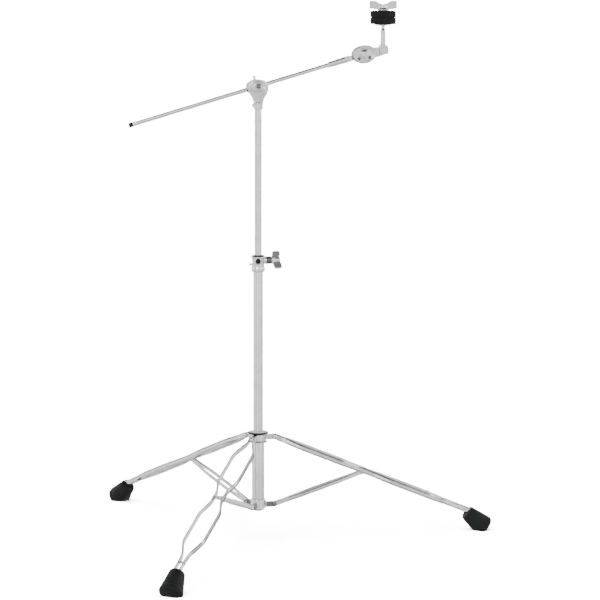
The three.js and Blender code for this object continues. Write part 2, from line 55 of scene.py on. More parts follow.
# ---- places read from the frame ---------------------------------------------------------------
tube_low, tube_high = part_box("base_tube")
MAST = Vector(((tube_low.x + tube_high.x) / 2, (tube_low.y + tube_high.y) / 2, 0))
HEAD = Vector(JOINTS["boom_rod_turn"]["pos_m"])
BOOM = Vector(JOINTS["boom_rod_turn"]["axis"]).normalized()
TILTER = Vector(JOINTS["tilter_tilt"]["pos_m"])
NUT_SEAT = Vector(JOINTS["top_wing_nut_turn"]["pos_m"])
CLAMP_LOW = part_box("height_clamp")[0]
CLAMP_TURN = Matrix.Rotation(math.radians(-9), 4, "Z")
BOLT = Vector(JOINTS["height_wing_bolt_turn"]["pos_m"])
BOLT_AXIS = Vector(JOINTS["height_wing_bolt_turn"]["axis"]).normalized()
TILT = Vector((MAST.x, MAST.y, JOINTS["boom_tilt"]["pos_m"][2]))
TILT_Z = TILT.z / MM


# ---- materials --------------------------------------------------------------------------------
def new_material(name):
    material = bpy.data.materials.new(name)
    material.use_nodes = True
    tree = material.node_tree
    shader = tree.nodes["Principled BSDF"]
    coords = tree.nodes.new("ShaderNodeTexCoord")
    return material, tree, shader, coords


def noise_value(tree, coords, scale, detail=4.0, stretch=(1, 1, 1), roughness=0.55):
    mapping = tree.nodes.new("ShaderNodeMapping")
    mapping.inputs["Scale"].default_value = stretch
    texture = tree.nodes.new("ShaderNodeTexNoise")
    texture.inputs["Scale"].default_value = scale
    texture.inputs["Detail"].default_value = detail
    texture.inputs["Roughness"].default_value = roughness
    tree.links.new(coords.outputs["Object"], mapping.inputs["Vector"])
    tree.links.new(mapping.outputs["Vector"], texture.inputs["Vector"])
    return texture.outputs["Fac"]


def remap(tree, value, low, high, start=0.3, stop=0.7):
    node = tree.nodes.new("ShaderNodeMapRange")
    node.inputs["From Min"].default_value = start
    node.inputs["From Max"].default_value = stop
    node.inputs["To Min"].default_value = low
    node.inputs["To Max"].default_value = high
    tree.links.new(value, node.inputs["Value"])
    return node.outputs["Result"]


def tint(tree, value, dark, light, start=0.35, stop=0.65):
    ramp = tree.nodes.new("ShaderNodeValToRGB")
    ramp.color_ramp.elements[0].position = start
    ramp.color_ramp.elements[0].color = (*dark, 1)
    ramp.color_ramp.elements[1].position = stop
    ramp.color_ramp.elements[1].color = (*light, 1)
    tree.links.new(value, ramp.inputs["Fac"])
    return ramp.outputs["Color"]


def bumped(tree, shader, layers):
    """Each layer is (height, strength, distance in metres); they stack on one another."""
    normal = None
    for height, strength, distance in layers:
        bump = tree.nodes.new("ShaderNodeBump")
        bump.inputs["Strength"].default_value = strength
        bump.inputs["Distance"].default_value = distance
        tree.links.new(height, bump.inputs["Height"])
        if normal:
            tree.links.new(normal, bump.inputs["Normal"])
        normal = bump.outputs["Normal"]
    tree.links.new(normal, shader.inputs["Normal"])


def chrome_material(name, dark, light, smooth, rough, stretch):
    """Plated steel: faint smears in gloss and tone, hairline polishing marks and a slight orange peel."""
    material, tree, shader, coords = new_material(name)
    smear = noise_value(tree, coords, 26, 5)
    haze = noise_value(tree, coords, 160, 3)
    hairlines = noise_value(tree, coords, 900, 2, stretch)
    tree.links.new(tint(tree, smear, dark, light), shader.inputs["Base Color"])
    shader.inputs["Metallic"].default_value = 1.0
    tree.links.new(remap(tree, smear, smooth, rough), shader.inputs["Roughness"])
    bumped(tree, shader, [(haze, 0.05, 0.0004), (hairlines, 0.03, 0.0001)])
    return material


def rubber_material():
    material, tree, shader, coords = new_material("rubber")
    patches = noise_value(tree, coords, 70, 4)
    grain = noise_value(tree, coords, 1800, 3)
    colour = tint(tree, patches, (0.0035, 0.0035, 0.0037), (0.009, 0.009, 0.0095))
    tree.links.new(colour, shader.inputs["Base Color"])
    tree.links.new(remap(tree, patches, 0.5, 0.78), shader.inputs["Roughness"])
    shader.inputs["Specular IOR Level"].default_value = 0.15
    bumped(tree, shader, [(patches, 0.25, 0.0006), (grain, 0.5, 0.0002)])
    return material


def nylon_material():
    material, tree, shader, coords = new_material("nylon")
    patches = noise_value(tree, coords, 120, 3)
    grain = noise_value(tree, coords, 2600, 2)
    colour = tint(tree, patches, (0.003, 0.003, 0.0032), (0.006, 0.006, 0.0063))
    tree.links.new(colour, shader.inputs["Base Color"])
    tree.links.new(remap(tree, patches, 0.3, 0.5), shader.inputs["Roughness"])
    shader.inputs["Specular IOR Level"].default_value = 0.2
    bumped(tree, shader, [(grain, 0.25, 0.0001)])
    return material


def felt_material():
    """Pressed wool: matted fibres in two scales, a soft sheen and no gloss."""
    material, tree, shader, coords = new_material("felt")
    clumps = noise_value(tree, coords, 220, 6, roughness=0.7)
    fibres = noise_value(tree, coords, 900, 4, (1, 1, 3.5), 0.8)
    layers = noise_value(tree, coords, 260, 3, (0.15, 0.15, 3.0))
    colour = tint(tree, fibres, (0.002, 0.002, 0.0021), (0.012, 0.012, 0.0125))
    tree.links.new(colour, shader.inputs["Base Color"])
    tree.links.new(remap(tree, clumps, 0.85, 1.0), shader.inputs["Roughness"])
    shader.inputs["Specular IOR Level"].default_value = 0.15
    shader.inputs["Sheen Weight"].default_value = 0.02
    shader.inputs["Sheen Roughness"].default_value = 0.6
    bumped(tree, shader, [(layers, 0.35, 0.0006), (clumps, 0.8, 0.0008), (fibres, 0.8, 0.0004)])
    return material


TUBE_TONES = (0.6, 0.604, 0.612), (0.69, 0.694, 0.702)
STEEL_TONES = (0.6, 0.604, 0.61), (0.7, 0.704, 0.71)
POLISHED = chrome_material("chrome_tube", *TUBE_TONES, 0.05, 0.13, (1, 1, 0.06))
PRESSED = chrome_material("chrome_pressed", *STEEL_TONES, 0.1, 0.22, (0.3, 0.3, 0.3))
CAST = chrome_material("chrome_cast", *STEEL_TONES, 0.1, 0.24, (0.6, 0.6, 0.6))
# Dark zinc for the dark screws, bolt and washer; the same dark finish is also painted shade on the brace
# pivot pins, in the collar groove, on the lower collar's tongues and in the tilter socket's slit and pockets.
DARK_ZINC_AND_SHADE = chrome_material("dark_zinc_and_painted_shade", (0.11, 0.112, 0.116), (0.2, 0.203, 0.208), 0.22, 0.4, (1, 1, 1))
# Mid-dark chrome used as painted shade: a dark line on the leg straps' upward faces and a dark ring around
# the tilter socket's face.
PAINTED_SHADE = chrome_material("chrome_painted_shade", (0.2, 0.203, 0.208), (0.3, 0.303, 0.31), 0.16, 0.32, (0.3, 0.3, 0.3))
RUBBER = rubber_material()
NYLON = nylon_material()
FELT = felt_material()


# ---- mesh helpers -----------------------------------------------------------------------------
def seat_frame(place, direction=UP, spin=0.0):
    """A local frame with +Z along a direction, turned about it by spin."""
    swing = UP.rotation_difference(Vector(direction).normalized())
    return Matrix.Translation(place) @ (swing @ Quaternion(UP, spin)).to_matrix().to_4x4()


def build(name, points, faces, where=Matrix.Identity(4)):
    mesh = bpy.data.meshes.new(name)
    mesh.from_pydata([where @ (Vector(p) * MM) for p in points], [], faces)
    shape = bmesh.new()
    shape.from_mesh(mesh)
    bmesh.ops.remove_doubles(shape, verts=shape.verts, dist=1e-7)
    bmesh.ops.recalc_face_normals(shape, faces=shape.faces)
    shape.to_mesh(mesh)
    shape.free()
    obj = bpy.data.objects.new(name, mesh)
    bpy.context.scene.collection.objects.link(obj)
    return obj


def fillet(points, radius, loop, steps=3):
    """Round each corner of a profile with a short curve; the ends of an open profile stay put."""
    out = []
    count = len(points)
    for i, (x, y) in enumerate(points):
        if not loop and i in (0, count - 1):
            out.append((x, y))
            continue
        corner = Vector((x, y))
        before = Vector(points[i - 1]) - corner
        after = Vector(points[(i + 1) % count]) - corner
        reach = min(radius, before.length * 0.45, after.length * 0.45)
        start = corner + before.normalized() * reach
        end = corner + after.normalized() * reach
        for k in range(steps + 1):
            t = k / steps
            p = start * (1 - t) ** 2 + corner * 2 * t * (1 - t) + end * t * t
            out.append((p.x, p.y))
    return out


def lathe(name, profile, where, sides=64, radius=0.5, loop=False):
    """Turn a [radius, height] profile, in millimetres; loop is for a ring with a bore."""
    ring = fillet(profile, radius, loop)
    points = []
    for r, z in ring:
        for i in range(sides):
            a = 2 * math.pi * i / sides
            points.append((r * math.cos(a), r * math.sin(a), z))
    faces = []
    rows = len(ring) if loop else len(ring) - 1
    for row in range(rows):
        first, second = row * sides, (row + 1) % len(ring) * sides
        for i in range(sides):
            j = (i + 1) % sides
            faces.append((first + i, first + j, second + j, second + i))
    return build(name, points, faces, where)


def prism(name, outline, low, high, where, axis="Y"):
    """An outline in X and Z given thickness along Y, or in X and Y along Z."""
    count = len(outline)
    if axis == "Y":
        points = [(x, low, z) for x, z in outline] + [(x, high, z) for x, z in outline]
    else:
        points = [(x, y, low) for x, y in outline] + [(x, y, high) for x, y in outline]
    faces = [tuple(range(count)), tuple(range(count, 2 * count))]
    faces += [(i, (i + 1) % count, (i + 1) % count + count, i + count) for i in range(count)]
    return build(name, points, faces, where)


def ellipse(cx, cz, rx, rz, start=0.0, stop=360.0, steps=48):
    full = stop - start >= 360
    count = steps if full else steps + 1
    angles = [math.radians(start + (stop - start) * i / steps) for i in range(count)]
    return [(cx + rx * math.cos(a), cz + rz * math.sin(a)) for a in angles]


def rect(x0, x1, z0, z1):
    return [(x0, z0), (x1, z0), (x1, z1), (x0, z1)]


def bezier(a, b, c, steps=8):
    return [((1 - t) ** 2 * a[0] + 2 * t * (1 - t) * b[0] + t * t * c[0],
             (1 - t) ** 2 * a[1] + 2 * t * (1 - t) * b[1] + t * t * c[1])
            for t in [i / steps for i in range(steps + 1)]]


def modified(obj, setup):
    """Run one modifier on an object and keep its result as the object's own mesh."""
    setup(obj)
    bpy.context.view_layer.update()
    graph = bpy.context.evaluated_depsgraph_get()
    result = bpy.data.meshes.new_from_object(obj.evaluated_get(graph))
    old = obj.data
    obj.modifiers.clear()
    obj.data = result
    result.name = obj.name
    bpy.data.meshes.remove(old)
    return obj


def combined(base, other, operation):
    def setup(obj):
        modifier = obj.modifiers.new("bool", "BOOLEAN")
        modifier.operation = operation
        modifier.solver = "EXACT"
        modifier.object = other
    modified(base, setup)
    bpy.data.objects.remove(other)
    return base


def cast(name, joined, cuts=(), grain=0.6, smooth=6):
    """Fuse solids and cut others out, then round every edge as a casting's are."""
    base = joined[0]
    base.name = name
    for other in joined[1:]:
        combined(base, other, "UNION")
    for other in cuts:
        combined(base, other, "DIFFERENCE")

    def remesh(obj):
        voxels = obj.modifiers.new("remesh", "REMESH")
        voxels.mode = "VOXEL"
        voxels.voxel_size = grain * MM
        soften = obj.modifiers.new("smooth", "SMOOTH")
        soften.factor = 0.5
        soften.iterations = smooth
    return modified(base, remesh)


def finish_piece(obj, node, material, sharp=38):
    obj.name = node + "_surface"
    obj.data.materials.clear()
    obj.data.materials.append(material)
    for face in obj.data.polygons:
        face.use_smooth = True
    if sharp:
        obj.data.set_sharp_from_angle(angle=math.radians(sharp))
    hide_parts(node)
    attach(obj, BODY_OF[node])
    return obj


def zoned(obj, material, chosen):
    """Give the faces that chosen(centre, normal) picks another finish.

    The darker zones are painted shade and painted dark reflections on the plating, not parts.
    """
    obj.data.materials.append(material)
    for face in obj.data.polygons:
        if chosen(face.center, face.normal):
            face.material_index = len(obj.data.materials) - 1


def mid(node):
    low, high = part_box(node)
    return (low + high) / 2


# ---- camera, floor and light ------------------------------------------------------------------
SENSOR, LENS = 36, 145.1
CAMERA_AZIMUTH, CAMERA_DISTANCE, CAMERA_HEIGHT = math.radians(-9.17), 5.3527, 1.3175
CAMERA_PAN, CAMERA_PITCH, CAMERA_ROLL = math.radians(-10.172), math.radians(90 - 8.19), math.radians(0.15)


def make_camera():
    data = bpy.data.cameras.new("camera")
    data.sensor_width = SENSOR
    data.lens = LENS
    data.clip_end = 400
    camera = bpy.data.objects.new("camera", data)
    bpy.context.scene.collection.objects.link(camera)
    camera.location = MAST + Vector((math.sin(CAMERA_AZIMUTH) * CAMERA_DISTANCE,
                                     -math.cos(CAMERA_AZIMUTH) * CAMERA_DISTANCE, CAMERA_HEIGHT))
    look = Matrix.Rotation(CAMERA_PAN, 4, "Z") @ Matrix.Rotation(CAMERA_PITCH, 4, "X")
    roll = Matrix.Rotation(CAMERA_ROLL, 4, "Z")
    camera.rotation_euler = (look @ roll).to_euler()
    bpy.context.scene.camera = camera


def paint(obj, name, dark, light, glow=0.0):
    """Matt white paint for the studio, seen only by the camera."""
    material, tree, shader, coords = new_material(name)
    patches = noise_value(tree, coords, 3, 3)
    tree.links.new(tint(tree, patches, (dark,) * 3, (light,) * 3), shader.inputs["Base Color"])
    shader.inputs["Roughness"].default_value = 0.9
    shader.inputs["Emission Color"].default_value = (1, 1, 1, 1)
    shader.inputs["Emission Strength"].default_value = glow
    obj.data.materials.append(material)
    obj.visible_glossy = False
    obj.visible_diffuse = False


STUDIO_REACH, STUDIO_HEIGHT, STUDIO_SIDES = 42000, 30000, 64


def make_studio():
    """A white floor under a lamp of its own, and a white wall far behind it."""
    reach, sides = STUDIO_REACH, STUDIO_SIDES
    disc = ellipse(0, 0, reach, reach, steps=sides)
    floor = prism("floor", disc, -20, -0.4, Matrix.Identity(4), "Z")
    paint(floor, "floor_paint", 0.88, 0.92)
    ring = ellipse(0, 0, reach - 200, reach - 200, steps=sides)
    points = [(x, y, z) for z in (-10, STUDIO_HEIGHT) for x, y in ring] + [(0, 0, STUDIO_HEIGHT)]
    faces = [(i, (i + 1) % sides, (i + 1) % sides + sides, i + sides) for i in range(sides)]
    faces += [(i + sides, (i + 1) % sides + sides, 2 * sides) for i in range(sides)]
    wall = build("wall", points, faces)
    wall.visible_shadow = False
    paint(wall, "wall_paint", 0.88, 0.92, 20)
    lamp = bpy.data.lights.new("floor_lamp", "SUN")
    lamp.energy = 62
    lamp.angle = math.radians(70)
    source = bpy.data.objects.new("floor_lamp", lamp)
    source.rotation_euler = (math.radians(10), math.radians(-12), 0)
    bpy.context.scene.collection.objects.link(source)
    lit = bpy.data.collections.new("lit_by_floor_lamp")
    lit.objects.link(floor)
    source.light_linking.receiver_collection = lit


# (position, brightness) stops: once around the room, and from the floor up to the ceiling
ROOM_AROUND = [
    (0.0, 1.0), (0.06, 1.05), (0.08, 0.5), (0.1, 0.5), (0.12, 1.0), (0.2, 1.25), (0.25, 0.85),
    (0.27, 0.6), (0.29, 0.9), (0.36, 1.15), (0.43, 0.9), (0.445, 0.4), (0.465, 0.45), (0.48, 0.95),
    (0.6, 1.1), (0.7, 0.8), (0.725, 0.45), (0.75, 0.9), (0.85, 1.15), (0.95, 1.0)]
ROOM_UPWARD = [
    (0.0, 0.35), (0.3, 0.6), (0.44, 0.8), (0.56, 0.82), (0.78, 1.1), (0.88, 0.15), (1.0, 0.08)]
ROOM_STRENGTH = 2.3


def make_world():
    """A soft studio as the chrome sees it: a bright room with darker uprights and a dark ceiling."""
    world = bpy.data.worlds.new("studio")
    bpy.context.scene.world = world
    world.use_nodes = True
    tree = world.node_tree
    background = tree.nodes["Background"]
    coords = tree.nodes.new("ShaderNodeTexCoord")
    split = tree.nodes.new("ShaderNodeSeparateXYZ")
    tree.links.new(coords.outputs["Generated"], split.inputs["Vector"])
    around = tree.nodes.new("ShaderNodeMath")
    around.operation = "ARCTAN2"
    tree.links.new(split.outputs["Y"], around.inputs[0])
    tree.links.new(split.outputs["X"], around.inputs[1])
    turn = tree.nodes.new("ShaderNodeMapRange")
    turn.inputs["From Min"].default_value = -math.pi
    turn.inputs["From Max"].default_value = math.pi
    tree.links.new(around.outputs["Value"], turn.inputs["Value"])
    bands = ramp_node(tree, turn.outputs["Result"], ROOM_AROUND)
    lift = tree.nodes.new("ShaderNodeMapRange")
    lift.inputs["From Min"].default_value = -1
    tree.links.new(split.outputs["Z"], lift.inputs["Value"])
    rise = ramp_node(tree, lift.outputs["Result"], ROOM_UPWARD)
    mix = tree.nodes.new("ShaderNodeMixRGB")
    mix.blend_type = "MULTIPLY"
    mix.inputs["Fac"].default_value = 1.0
    tree.links.new(bands, mix.inputs["Color1"])
    tree.links.new(rise, mix.inputs["Color2"])
    tree.links.new(mix.outputs["Color"], background.inputs["Color"])
    background.inputs["Strength"].default_value = ROOM_STRENGTH


def ramp_node(tree, value, stops):
    node = tree.nodes.new("ShaderNodeValToRGB")
    elements = node.color_ramp.elements
    while len(elements) < len(stops):
        elements.new(0.5)
    for element, (position, brightness) in zip(elements, stops):
        element.position = position
        element.color = (brightness, brightness, brightness, 1)
    tree.links.new(value, node.inputs["Fac"])
    return node.outputs["Color"]


# (name, place from the mast in metres, size in metres, power in watts)
SOFT_BOXES = [
    ("key_box", (-1.6, -2.6, 2.6), 0.9, 38),
    ("side_box", (2.6, -0.6, 1.6), 0.6, 14),
    ("rim_box", (0.6, 2.8, 2.2), 0.8, 22)]
LIT_SPOT = Vector((0.1, 0, 0.75))


def make_lights():
    for name, place, size, power in SOFT_BOXES:
        data = bpy.data.lights.new(name, "AREA")
        data.shape = "RECTANGLE"
        data.size = size * 0.5
        data.size_y = size * 1.6
        data.energy = power
        box = bpy.data.objects.new(name, data)
        box.location = MAST + Vector(place)
        target = MAST + LIT_SPOT
        box.rotation_euler = (target - box.location).to_track_quat("-Z", "Y").to_euler()
        bpy.context.scene.collection.objects.link(box)


# ---- mast -------------------------------------------------------------------------------------
BASE_R, BASE_BORE = 11.1, 9.6
UPPER_R, UPPER_BORE = 7.95, 6.6


def ring_profile(outer, inner, low, high):
    return [(inner, low), (outer, low), (outer, high), (inner, high)]


def make_mast():
    rest = seat_frame(MAST)
    wall = ring_profile(BASE_R, BASE_BORE, tube_low.z / MM, tube_high.z / MM)
    base = lathe("base", wall, rest, 96, 0.5, True)
    finish_piece(base, "base_tube", POLISHED)
    low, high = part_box("upper_tube")
    upper = lathe("upper", ring_profile(UPPER_R, UPPER_BORE, low.z / MM, high.z / MM), rest, 96, 0.4, True)
    finish_piece(upper, "upper_tube", POLISHED)
    low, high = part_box("spacer_sleeve")
    sleeve = lathe("sleeve", ring_profile(14.3, 11.4, low.z / MM, high.z / MM), rest, 96, 0.7, True)
    finish_piece(sleeve, "spacer_sleeve", POLISHED)
    low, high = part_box("base_tube_end_cap")
    bottom = low.z / MM
    cap = lathe("cap", [(0, bottom), (9.8, bottom), (11, bottom + 1), (11, bottom + 2.7), (9.2, bottom + 2.8),
                        (9.2, bottom + 11), (0, bottom + 11)], rest, 64, 0.6)
    finish_piece(cap, "base_tube_end_cap", NYLON)
    low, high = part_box("swivel_bush")
    bottom, top = low.z / MM, high.z / MM
    bush = lathe("bush", [(8.25, bottom), (9.3, bottom), (9.3, top - 7.6), (11.1, top - 7.6),
                          (11.1, top - 1.8), (14.2, top - 1.8), (14.2, top), (8.25, top)],
                 rest, 64, 0.5, True)
    finish_piece(bush, "swivel_bush", NYLON)


# ---- collars ----------------------------------------------------------------------------------
TONGUE_HALF, TONGUE_RADIUS, TONGUE_ROOT = 4.2, 6, -26
LEG_NAMES = ["right", "back", "front"]
# where the collars get painted shade, and where the bushing's upward faces take the chrome: distances from
# the mast in metres, and a normal's least Z
GROOVE_REACH, BUSHING_RING, LOWER_HUB = 0.0195, 0.0175, 0.0185
FACING_UP = 0.9


def from_mast(centre):
    return (centre - MAST).xy.length


def leg_frame(joint, slope):
    """+X out along the leg or brace from its pivot, +Y across it, +Z up."""
    axis = Vector(JOINTS[joint]["axis"]).normalized()
    outward = axis.cross(UP)
    turn = Matrix.Rotation(slope, 4, axis) @ Matrix((outward, axis, UP)).transposed().to_4x4()
    return Matrix.Translation(JOINTS[joint]["pos_m"]) @ turn


def tongues(kind):
    out = []
    for name in LEG_NAMES:
        shape = rect(TONGUE_ROOT, 0, -TONGUE_RADIUS, TONGUE_RADIUS)[:2]
        shape += ellipse(0, 0, TONGUE_RADIUS, TONGUE_RADIUS, -90, 90, 16)[1:]
        shape.append((TONGUE_ROOT, TONGUE_RADIUS))
        out.append(prism("tongue", shape, -TONGUE_HALF, TONGUE_HALF, leg_frame(f"{kind}_{name}_fold", 0)))
    return out


def screw_frame(node_joint, height=None):
    joint = JOINTS[node_joint]
    place = Vector(joint["pos_m"])
    if height is not None:
        place.z = height * MM
    return seat_frame(place, Vector(joint["axis"]))


def make_collars():
    low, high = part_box("leg_collar")
    bottom, top = low.z / MM, high.z / MM
    rest = seat_frame(MAST)
    hub = lathe("hub", [(9, bottom), (20.4, bottom), (20.4, bottom + 2.6), (18, bottom + 4), (18, top - 1.6),
                        (17.2, top), (9, top)], rest, 96, 0.8, True)
    screw_at = screw_frame("collar_wing_screw_turn")
    boss = lathe("boss", [(0, 12), (6.2, 12), (6.2, 25), (0, 25)], screw_at, 40, 0.6)
    collar = cast("leg_collar", [hub, boss, *tongues("leg")],
                  [lathe("bore", [(0, 0), (13.7, 0), (13.7, 400), (0, 400)], rest, 96, 0.01)])
    finish_piece(collar, "leg_collar", CAST)
    # Painted shade: the collar's step below the hub gets the dark finish, as shade in the crease.
    groove = ((bottom + 2.8) * MM, (bottom + 5.2) * MM)
    zoned(collar, DARK_ZINC_AND_SHADE, lambda c, n: groove[0] < c.z < groove[1] and from_mast(c) < GROOVE_REACH)
    flange = top + 0.3
    bushing = lathe("bushing", [(11.4, bottom + 1), (13.4, bottom + 1), (13.4, flange), (22.2, flange),
                                (23, flange + 0.8), (23, flange + 3), (22.2, flange + 3.8),
                                (17.5, flange + 3.8), (11.4, flange + 3.8)], rest, 96, 0.5, True)
    finish_piece(bushing, "leg_collar_bushing", NYLON)
    zoned(bushing, POLISHED, lambda c, n: n.z > FACING_UP and from_mast(c) < BUSHING_RING)
    low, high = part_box("lower_collar")
    bottom, top = low.z / MM, high.z / MM
    hub = lathe("hub", [(9.4, bottom), (16.2, bottom), (17, bottom + 1), (17, top - 1), (16.2, top),
                        (9.4, top)], rest, 96, 0.8, True)
    lower = cast("lower_collar", [hub, *tongues("brace")],
                 [lathe("bore", [(0, 0), (11.4, 0), (11.4, 400), (0, 400)], rest, 96, 0.01)])
    finish_piece(lower, "lower_collar", CAST)
    # Painted shade: the lower collar's tongues, beyond the hub, get the dark finish as if in shadow.
    zoned(lower, DARK_ZINC_AND_SHADE, lambda c, n: from_mast(c) > LOWER_HUB)
    screw_at = screw_frame("collar_wing_screw_turn", mid("lower_collar_screw").z / MM)
    screw = lathe("screw", [(0, 11.5), (3, 11.5), (3, 17.3), (5, 17.3), (5, 19.3), (3.2, 20.6),
                            (1.8, 20.6), (1.8, 18.6), (0, 18.6)], screw_at, 40, 0.25)
    finish_piece(screw, "lower_collar_screw", DARK_ZINC_AND_SHADE)


# ---- legs and braces --------------------------------------------------------------------------
LEG_SLOPE, BRACE_SLOPE = math.radians(22.7), math.radians(18.15)
FOOT_SLOPE, FOOT_OUT, FOOT_UP = math.radians(41.6), 0.4883, 0.041
# least upward lean of a strap face that gets painted shade
STRAP_TOP = 0.3
LEG_TO_RIVET = 226
BRACE_LENGTH = LEG_TO_RIVET * math.cos(LEG_SLOPE) / math.cos(BRACE_SLOPE)
LEG_LENGTH = 494
FOOT_RIVET = 462
# (start, end, first, last) along a strap in millimetres: its distance from the middle, then its lip
LEG_STATIONS = [
    (0, 10, 4.6, 4.6), (10, 70, 4.6, 21), (70, 160, 21, 21), (160, 214, 21, 9.6), (214, 238, 9.6, 9.6),
    (238, 292, 9.6, 21), (292, 380, 21, 21), (380, 450, 21, 5), (450, LEG_LENGTH, 5, 5)]
LEG_LIPS = [
    (0, 14, 2.2, 2.2), (14, 44, 2.2, 4.2), (44, 440, 4.2, 4.2), (440, 470, 4.2, 2.2),
    (470, 600, 2.2, 2.2)]
BRACE_STATIONS = [
    (0, 10, 4.6, 4.6), (10, 80, 4.6, 8.5), (80, 130, 8.5, 8.5), (130, 205, 8.5, 3.6),
    (205, BRACE_LENGTH + 10, 3.6, 3.6)]
BRACE_LIPS = [(0, 12, 2, 2), (12, 36, 2, 3.2), (36, 176, 3.2, 3.2), (176, 200, 3.2, 2), (200, 300, 2, 2)]


def level(along, stations):
    for start, end, first, last in stations:
        if along <= end:
            t = min(1, max(0, (along - start) / (end - start)))
            return first + (last - first) * t * t * (3 - 2 * t)
    return stations[-1][3]


def channel_section(half, lip, thick):
    """A pressed strip seen end-on: flat inside, its two long edges rolled outwards. (across, up) points."""
    slant = min(lip - thick + 1, 3)
    outer = [(0, half - 0.9), (0.3, half - 0.3), (0.9, half), (lip - slant, half),
             (lip - 0.2, half - slant + 0.1), (lip, half - slant - 0.3), (lip - 0.4, half - slant - 0.7),
             (thick, half - slant - 1)]
    return outer + [(x, -z) for x, z in reversed(outer)]


END_HALF = 4.2


def strap(name, size, length, past, stations, lips, side, where, step=4):
    """A pressed strap with rounded ends; a section narrower than END_HALF is that one squeezed."""
    height, thick = size
    count = round((length + past) / step)
    spots = [-past + (length + past) * i / count for i in range(count + 1)]
    spots = [-past + 0.15, -past + 0.6, -past + 1.5, -past + 3] + spots[1:]
    points, faces = [], []
    for along in sorted(spots):
        reach = height / 2
        inside = along + past
        half = math.sqrt(reach**2 - (reach - inside) ** 2) if inside < reach else reach
        section = channel_section(max(half, END_HALF), level(along, lips), thick)
        across = level(max(along, 0), stations)
        points += [(along, side * (across + w), z * (half / max(half, END_HALF))) for w, z in section]
    width = len(section)
    rows = len(points) // width
    for row in range(rows - 1):
        for i in range(width):
            j = (i + 1) % width
            faces.append((row * width + i, row * width + j, (row + 1) * width + j, (row + 1) * width + i))
    faces.append(tuple(range(width)))
    faces.append(tuple(range((rows - 1) * width, rows * width)))
    return build(name, points, faces, where)


def pin(name, half, where):
    """A rivet across a pair of straps, with a domed head at each end."""
    seat = half + 0.3
    side = [(2.6, seat), (4.7, seat), (4.8, seat + 0.5), (4.2, seat + 1.25), (2.4, seat + 1.7),
            (0, seat + 1.8)]
    profile = [(r, -z) for r, z in reversed(side)] + side
    return lathe(name, profile, where @ Matrix.Rotation(math.radians(-90), 4, "X"), 40, 0.35)


def make_foot(name):
    axis = Vector(JOINTS[f"leg_{name}_fold"]["axis"]).normalized()
    outward = axis.cross(UP)
    direction = outward * math.cos(FOOT_SLOPE) - UP * math.sin(FOOT_SLOPE)
    top = MAST + outward * FOOT_OUT + UP * FOOT_UP
    profile = [(0, 0), (10, 0), (10.6, -0.9), (15.2, -0.9), (17.2, 1.8), (19.2, 12), (24.6, 40),
               (24, 41.2), (25, 42.6), (26.2, 48), (26.2, 51.5), (24.2, 55.2), (20.4, 57.2), (19.9, 56.4),
               (18.4, 57.2), (17.9, 58.4), (12, 60), (11.5, 59.2), (10, 59.5), (9.5, 60.5), (0, 61)]
    foot = lathe("foot", profile, seat_frame(top, direction), 72, 0.8)
    for vertex in foot.data.vertices:
        vertex.co.z = max(vertex.co.z, 0.0)
    finish_piece(foot, f"foot_{name}", RUBBER, 50)


def make_leg(name):
    leg = leg_frame(f"leg_{name}_fold", LEG_SLOPE)
    brace = leg_frame(f"brace_{name}_fold", -BRACE_SLOPE)
    for label, side in (("a", 1), ("b", -1)):
        long = strap("leg", (12.8, 2.2), LEG_LENGTH, 6.4, LEG_STATIONS, LEG_LIPS, side, leg)
        finish_piece(long, f"leg_{name}_strap_{label}", PRESSED)
        up = (leg.to_3x3() @ UP).normalized()
        # Painted shade: the strap's upward-facing faces get the mid-dark chrome, a dark line along the top
        # edge.
        zoned(long, PAINTED_SHADE, lambda c, n: n.dot(up) > STRAP_TOP)
        short = strap("brace", (9.6, 2), BRACE_LENGTH + 4.8, 4.8, BRACE_STATIONS, BRACE_LIPS, side, brace)
        finish_piece(short, f"brace_{name}_strap_{label}", PRESSED)
    finish_piece(pin("pin", 6.8, leg), f"leg_{name}_pivot_pin", CAST)
    finish_piece(pin("pin", 7.2, leg @ Matrix.Translation((FOOT_RIVET * MM, 0, 0))),
                 f"leg_{name}_foot_rivet", CAST)
    # Painted shade: the brace pivot pins get the dark finish, though the leg pivot pins are plain cast
    # chrome.
    finish_piece(pin("pin", 6.6, brace), f"brace_{name}_pivot_pin", DARK_ZINC_AND_SHADE)
    finish_piece(pin("pin", 5.6, brace @ Matrix.Translation((BRACE_LENGTH * MM, 0, 0))),
                 f"brace_{name}_end_rivet", CAST)
    make_foot(name)


